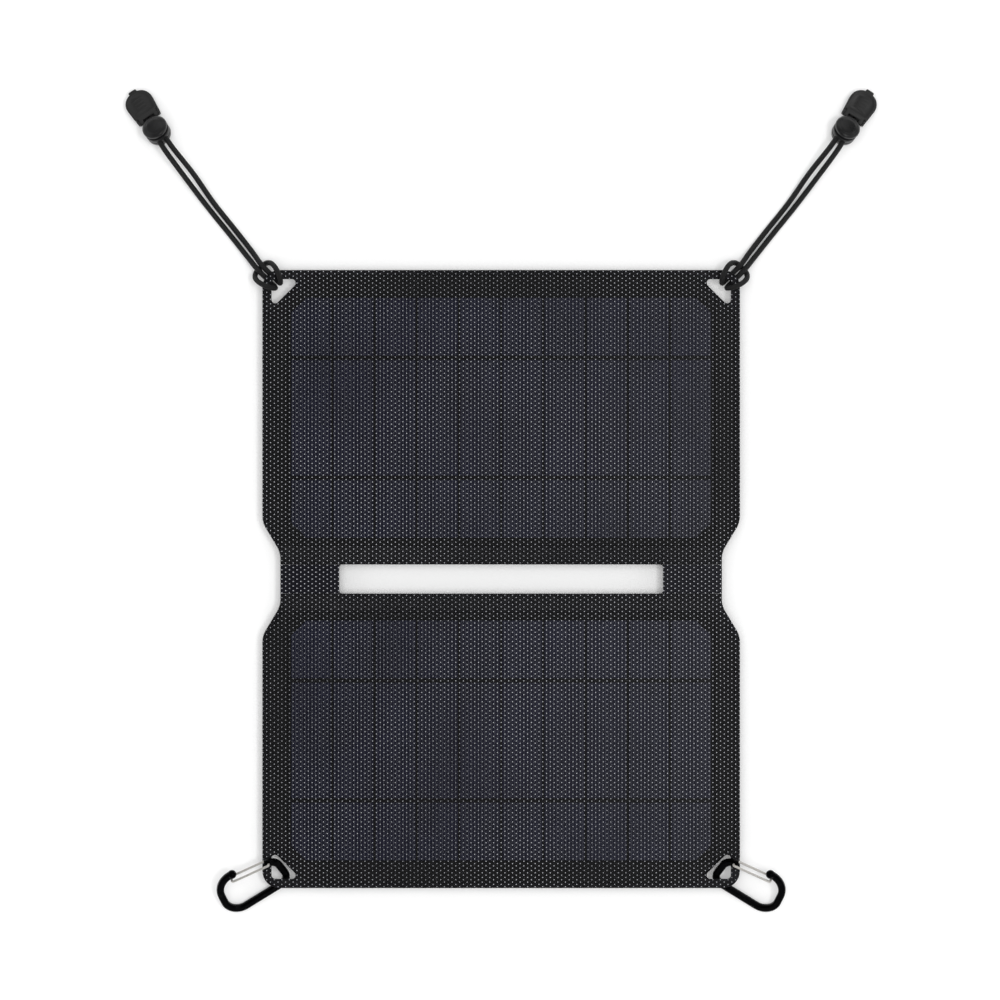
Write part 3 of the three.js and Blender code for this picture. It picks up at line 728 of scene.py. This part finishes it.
class SOLAR_OT_front_film(bpy.types.Operator):
    """Clear dotted film over each half of the sheet"""

    bl_idname = "solar.front_film"
    bl_label = "Front film"

    def execute(self, context):
        settings = context.scene.solar_sheet
        materials = [film_finish(settings), film_edge_finish(settings), film_inside_finish()]
        for half in HALVES:
            node = f"{half}_front_film"
            piece = dotted_film(node, f"{half}_film", settings, materials)
            fit(piece, f"{half}_panel", "film", node)
        return {"FINISHED"}


class SOLAR_OT_fold(bpy.types.Operator):
    """Soft strips each side of the slot, and the lead across it, cut into narrow bands parallel to the fold
    """

    bl_idname = "solar.fold"
    bl_label = "Fold strips"

    def execute(self, context):
        settings = context.scene.solar_sheet
        fabric = bpy.data.materials.get("back_weave") or fabric_finish(settings)
        edge = bpy.data.materials.get("film_edge") or film_edge_finish(settings)
        materials = [film_finish(settings, opaque=True), edge, fabric]
        for side, _ in SIDES:
            node = f"{side}_fold_strip"
            piece = dotted_film(node, f"{side}_fold", settings, materials)
            self.slice_for_bending(piece)
            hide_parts(node)
            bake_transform(piece)
        lead = object_from(copy_of_node("fold_lead"), "fold_conductor", [ribbon_finish()])
        self.slice_for_bending(lead)
        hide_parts("fold_lead")
        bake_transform(lead)
        return {"FINISHED"}

    @staticmethod
    def slice_for_bending(piece, step=0.6 * MM):
        bm = bmesh.new()
        bm.from_mesh(piece.data)
        count = int(2 * SLOT_HALF_HEIGHT / step)
        for index in range(1, count):
            y = FOLD_Y - SLOT_HALF_HEIGHT + index * 2 * SLOT_HALF_HEIGHT / count
            geometry = list(bm.verts) + list(bm.edges) + list(bm.faces)
            bmesh.ops.bisect_plane(bm, geom=geometry, plane_co=(0, y, 0), plane_no=(0, 1, 0), dist=1e-7)
        bm.to_mesh(piece.data)
        bm.free()


class SOLAR_OT_laminate(bpy.types.Operator):
    """Cells, ribbons, boards and back fabric inside the sheet"""

    bl_idname = "solar.laminate"
    bl_label = "Cells, boards and fabric"

    def execute(self, context):
        settings = context.scene.solar_sheet
        fabric = fabric_finish(settings)
        cells, ribbons, boards = cell_finish(settings), ribbon_finish(), board_finish()
        for half in HALVES:
            paint([name for name in frame["nodes"] if name.startswith(f"{half}_cell_")], cells)
            paint([f"{half}_inner_ribbon", f"{half}_outer_ribbon"], ribbons)
            paint([f"{half}_board"], boards)
            paint([f"{half}_back_fabric"], fabric)
        return {"FINISHED"}


# --- Cords ---------------------------------------------------------------------------------

class SOLAR_OT_cords(bpy.types.Operator):
    """Elastic cords hitched through the top corners"""

    bl_idname = "solar.cords"
    bl_label = "Elastic cords"

    def execute(self, context):
        settings = context.scene.solar_cord
        for side, mirror in SIDES:
            points = [(mirror * x, y + FOLD_Y, z) for x, y, z in CORD_ROUTE]
            route = smooth_route(points, SAMPLES_PER_POINT)
            total = sum((b - a).length for a, b in zip(route, route[1:]))
            material = cord_finish(settings, total)
            piece = tube(route, CORD_DIAMETER / 2, f"{side}_elastic_cord", [material])
            smooth(piece, 60)
            fit(piece, "upper_panel", "cord", f"{side}_cord")
        return {"FINISHED"}


# --- USB box -------------------------------------------------------------------------------

def rounded_copy(node, name, width, material, angle=35):
    """A copy of a CAD node with its hard edges rounded."""
    bm = copy_of_node(node)
    bmesh.ops.dissolve_limit(bm, angle_limit=math.radians(2), verts=bm.verts, edges=bm.edges)
    piece = object_from(bm, name, [material])
    round_edges(piece, width, 2, angle)
    smooth(piece, 40)
    return piece


class SOLAR_OT_usb_box(bpy.types.Operator):
    """Moulded box on the back with its socket, flap, light and circuit"""

    bl_idname = "solar.usb_box"
    bl_label = "USB box"

    def execute(self, context):
        settings = context.scene.solar_hardware
        plastic = plastic_finish("box_plastic", settings.box_colour, 0.5, 0.00006)
        rubber = plastic_finish("flap_rubber", shade(settings.box_colour, 0.7), 0.7)
        plate_piece = rounded_copy("box_base", "box_back_plate", 0.2 * MM, plastic)
        fit(plate_piece, "upper_panel", "box_plastic", "box_base")
        shell = rounded_copy("box_cover", "box_shell", 0.4 * MM, plastic)
        fit(shell, "upper_panel", "box_plastic", "box_cover")
        fit(rounded_copy("port_flap", "socket_flap", 0.15 * MM, rubber), "port_flap", "rubber", "port_flap")
        lens = rounded_copy("indicator_light", "light_lens", 0.3 * MM, light_finish())
        fit(lens, "upper_panel", "light", "indicator_light")
        paint(["circuit_board"], circuit_finish())
        paint(["usb_socket"], metal_finish("socket_steel", (0.62, 0.61, 0.6), 0.3))
        return {"FINISHED"}


# --- Cord locks and end clips --------------------------------------------------------------

CORD_HEADING = math.atan2(0.84, -0.543)
LOCK_FRAME = (Matrix.Translation((-0.179, 0.23306 + FOLD_Y, 0.00685)) @ Matrix.Rotation(CORD_HEADING, 4, "Z")
              @ Matrix.Rotation(math.radians(30), 4, "Y") @ Matrix.Scale(MM, 4))
CLIP_FRAME = (Matrix.Translation((-0.1834, 0.2399 + FOLD_Y, 0)) @ Matrix.Rotation(CORD_HEADING, 4, "Z")
              @ Matrix.Scale(MM, 4))


class SOLAR_OT_locks(bpy.types.Operator):
    """Spring cord locks: a domed cup and a plunger with a domed head"""

    bl_idname = "solar.locks"
    bl_label = "Cord locks"

    def execute(self, context):
        settings = context.scene.solar_cord
        plastic = plastic_finish("lock_plastic", settings.lock_colour, 0.33)
        steel = metal_finish("spring_steel", (0.6, 0.6, 0.6), 0.3)
        for side, mirror in SIDES:
            body = self.body(side, plastic)
            transform_piece(body, LOCK_FRAME, mirror)
            fit(body, f"{side}_lock", "lock_plastic", f"{side}_lock_body")
            button = self.button(side, plastic)
            transform_piece(button, LOCK_FRAME, mirror)
            fit(button, f"{side}_lock_button", "lock_plastic", f"{side}_lock_button")
            spring = self.spring(side, steel)
            transform_piece(spring, LOCK_FRAME, mirror)
            fit(spring, f"{side}_lock", "steel", f"{side}_lock_spring")
            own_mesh(spring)
        return {"FINISHED"}

    @staticmethod
    def spring(side, steel):
        points = []
        for step in range(49):
            angle = step * math.pi / 12
            points.append(Vector((3.2 * math.cos(angle), 3.2 * math.sin(angle), -4.65 + 1.5 * step / 48)))
        piece = tube(points, 0.25, f"{side}_lock_coil", [steel], 10)
        smooth(piece, 40)
        return piece

    @staticmethod
    def body(side, plastic):
        profile = [(0, -6.6)]
        for step in range(1, 9):
            angle = step * math.pi / 16
            profile.append((6.5 * math.sin(angle), -1 - 5.6 * math.cos(angle)))
        profile += [(6.5, -0.4), (6.3, -0.3), (6.3, -0.1), (6.5, 0), (6.5, 2.2), (6.35, 2.42), (6.1, 2.5)]
        profile += [(5.1, 2.5), (4.92, 2.3), (4.9, -5), (0, -5)]
        piece = object_from(spun(profile), f"{side}_lock_cup", [plastic])
        cut(piece, box_object((-8, -3.6, -1.75), (8, 3.6, 1.75)))
        round_edges(piece, 0.15, 2, 50)
        smooth(piece, 35)
        return piece

    @staticmethod
    def button(side, plastic):
        head = 4.25
        profile = [(0, -2.8), (4.3, -2.8), (4.55, -2.55), (4.55, head), (6.4, head), (6.7, head + 0.3)]
        dome = [(6.7, 1.2), (6.55, 1.6), (6.2, 1.95), (5.6, 2.25), (4.9, 2.45),
                (4.7, 2.38), (4.5, 2.5), (3.2, 2.7), (1.6, 2.82), (0, 2.85)]
        profile += [(radius, head + rise) for radius, rise in dome]
        piece = object_from(spun(profile), f"{side}_lock_plunger", [plastic])
        cut(piece, box_object((-6, -3.6, -1.7), (6, 3.6, 3.3)))
        round_edges(piece, 0.12, 2, 50)
        smooth(piece, 35)
        return piece


class SOLAR_OT_end_clips(bpy.types.Operator):
    """End clips that hold the two cord ends, each with a hinged lid"""

    bl_idname = "solar.end_clips"
    bl_label = "End clips"

    def execute(self, context):
        plastic = plastic_finish("clip_plastic", context.scene.solar_cord.clip_colour, 0.5)
        for side, mirror in SIDES:
            base = rounded_copy(f"{side}_clip_base", f"{side}_clip_tray", 0.25 * MM, plastic)
            fit(base, "upper_panel", "clip_plastic", f"{side}_clip_base")
            lid = self.lid(side, plastic)
            transform_piece(lid, CLIP_FRAME, mirror)
            fit(lid, f"{side}_clip_lid", "clip_plastic", f"{side}_clip_lid")
        return {"FINISHED"}

    @staticmethod
    def lid(side, plastic):
        half = [(0.2, 5.3, 0.5), (3.3, 5.3, 0), (3.3, 6.95, 0.6), (16.4, 8.1, 6.4)]
        outline = [(x, -y, radius) for x, y, radius in half] + half[::-1]
        bm = plate(outline, 2.95, 5.5, 10)
        piece = object_from(bm, f"{side}_clip_cover", [plastic])
        tab_outline = [(15.6, -2.4, 0.3), (17.7, -2.2, 0.7), (17.7, 2.2, 0.7), (15.6, 2.4, 0.3)]
        tab = object_from(plate(tab_outline, 2.95, 4.9), "cutter", [])
        cut(piece, tab, operation="UNION")
        round_edges(piece, 0.45, 3, 50)
        panel = [(4.4, -5.5, 1.5), (15.2, -6.6, 5.2), (15.2, 6.6, 5.2), (4.4, 5.5, 1.5)]
        cut(piece, object_from(plate(panel, 5.05, 7, 10), "cutter", []))
        for x in (6.4, 8.3, 10.2, 12.1):
            ridge = [(x, -2.7, 0.38), (x + 0.8, -2.7, 0.38), (x + 0.8, 2.7, 0.38), (x, 2.7, 0.38)]
            cut(piece, object_from(plate(ridge, 4.6, 5.38, 5), "cutter", []), operation="UNION")
        cut(piece, box_object((-1, -5.2, 0), (10.9, 5.2, 4.5)))
        cut(piece, cylinder_object(0.7, 12.8, (1.5, 0, 4.4), "Y"), operation="UNION")
        cut(piece, box_object((-1, -4.9, 0), (4, 4.9, 4.5)))
        cut(piece, box_object((-1, -6, 0), (1.1, 6, 3.6)))
        cut(piece, box_object((-1, -3.3, 4), (1.9, 3.3, 7)))
        round_edges(piece, 0.12, 2, 50)
        smooth(piece, 35)
        return piece


# --- Carabiners ----------------------------------------------------------------------------

class SOLAR_OT_carabiners(bpy.types.Operator):
    """Small black carabiners with wire gates on the bottom corners"""

    bl_idname = "solar.carabiners"
    bl_label = "Carabiners"

    def execute(self, context):
        settings = context.scene.solar_hardware
        bar = metal_finish("black_anodised", settings.anodised_colour, 0.3, (0.02, 0.02, 0.02))
        wire = metal_finish("gate_wire", settings.wire_colour, 0.4)
        wire.node_tree.nodes["Principled BSDF"].inputs["Metallic"].default_value = 0.6
        for side, mirror in SIDES:
            frame_piece = self.bar(side, bar)
            transform_piece(frame_piece, self.frame(), mirror)
            fit(frame_piece, f"{side}_carabiner", "anodised", f"{side}_carabiner_frame")
            gate = self.gate(side, wire)
            transform_piece(gate, self.frame(), mirror)
            fit(gate, f"{side}_gate", "gate_wire", f"{side}_carabiner_gate")
        return {"FINISHED"}

    @staticmethod
    def frame():
        along = Vector((-0.8417, -0.526, -0.1219))
        gate_side = Vector((-0.5008, 0.676, 0.5406))
        turn = Matrix((along, gate_side, along.cross(gate_side))).transposed().to_4x4()
        return Matrix.Translation((-0.1102, -0.1563 + FOLD_Y, 0.00524)) @ turn @ Matrix.Scale(MM, 4)

    @staticmethod
    def bar(side, material):
        squeeze = 1 / math.cos(math.radians(33))
        outline = [(22.3, 18.3 * squeeze, 0), (32.2, 18.9 * squeeze, 10.5), (37, 0, 7.5), (0.2, 0, 5.5),
                   (-0.2, 12.6 * squeeze, 5), (5.4, 13.76 * squeeze, 0)]
        points = rounded_outline(outline, 14)
        section = []
        for step in range(28):
            angle = 2 * math.pi * step / 28
            across = math.copysign(abs(math.cos(angle)) ** 0.7, math.cos(angle))
            up = math.copysign(abs(math.sin(angle)) ** 0.55, math.sin(angle))
            section.append((1.95 * across, 1.5 * up))
        piece = object_from(flat_sweep(points, section), f"{side}_carabiner_bar", [material])
        for radius, reach in ((2.35, 0.0), (1.3, 2.2)):
            ball = bmesh.new()
            bmesh.ops.create_uvsphere(ball, u_segments=28, v_segments=16, radius=radius)
            bmesh.ops.translate(ball, vec=(22.4 + reach, 18.2 * squeeze, 0), verts=ball.verts)
            cut(piece, object_from(ball, "cutter", []), operation="UNION")
        cut(piece, cylinder_object(0.75, 8, (3.6, 15.9, 0), "Z", 20))
        smooth(piece, 40)
        return piece

    @staticmethod
    def gate(side, material):
        px, py, tx, ty, spread = 3.6, 15.9, 24.3, 19.1, 2.45
        bends = [((px, py, 0.7), 0), ((px, py, spread), 0.7), ((tx, ty, spread), 1.2),
                 ((tx, ty, -spread), 1.2), ((px, py, -spread), 0.7), ((px, py, -0.7), 0)]
        corners = [Vector(corner) for corner, _ in bends]
        points = [corners[0]]
        for index in range(1, len(bends) - 1):
            radius = bends[index][1]
            start = corners[index] + (corners[index - 1] - corners[index]).normalized() * radius
            end = corners[index] + (corners[index + 1] - corners[index]).normalized() * radius
            for step in range(7):
                t = step / 6
                points.append((1 - t) ** 2 * start + 2 * t * (1 - t) * corners[index] + t * t * end)
        points.append(corners[-1])
        piece = tube(points, 0.62, f"{side}_carabiner_wire", [material], 16)
        smooth(piece, 40)
        return piece


CLASSES = [
    *SETTINGS.values(), SOLAR_OT_stage, SOLAR_OT_cords, SOLAR_OT_laminate, SOLAR_OT_front_film,
    SOLAR_OT_fold, SOLAR_OT_usb_box, SOLAR_OT_locks, SOLAR_OT_end_clips, SOLAR_OT_carabiners,
]
STEPS = ["stage", "cords", "laminate", "front_film", "fold", "usb_box", "locks", "end_clips", "carabiners"]


class SOLAR_PT_sidebar(bpy.types.Panel):
    bl_label = "Solar panel"
    bl_idname = "SOLAR_PT_sidebar"
    bl_space_type = "VIEW_3D"
    bl_region_type = "UI"
    bl_category = "Solar panel"

    def draw(self, context):
        for step in STEPS:
            self.layout.operator(f"solar.{step}")


def register():
    for made in [*CLASSES, SOLAR_PT_sidebar]:
        bpy.utils.register_class(made)
    for name, group in SETTINGS.items():
        setattr(bpy.types.Scene, name, PointerProperty(type=group))


def unregister():
    for name in SETTINGS:
        delattr(bpy.types.Scene, name)
    for made in reversed([*CLASSES, SOLAR_PT_sidebar]):
        bpy.utils.unregister_class(made)


def main():
    register()
    for step in STEPS:
        getattr(bpy.ops.solar, step)()


if __name__ == "__main__":
    main()
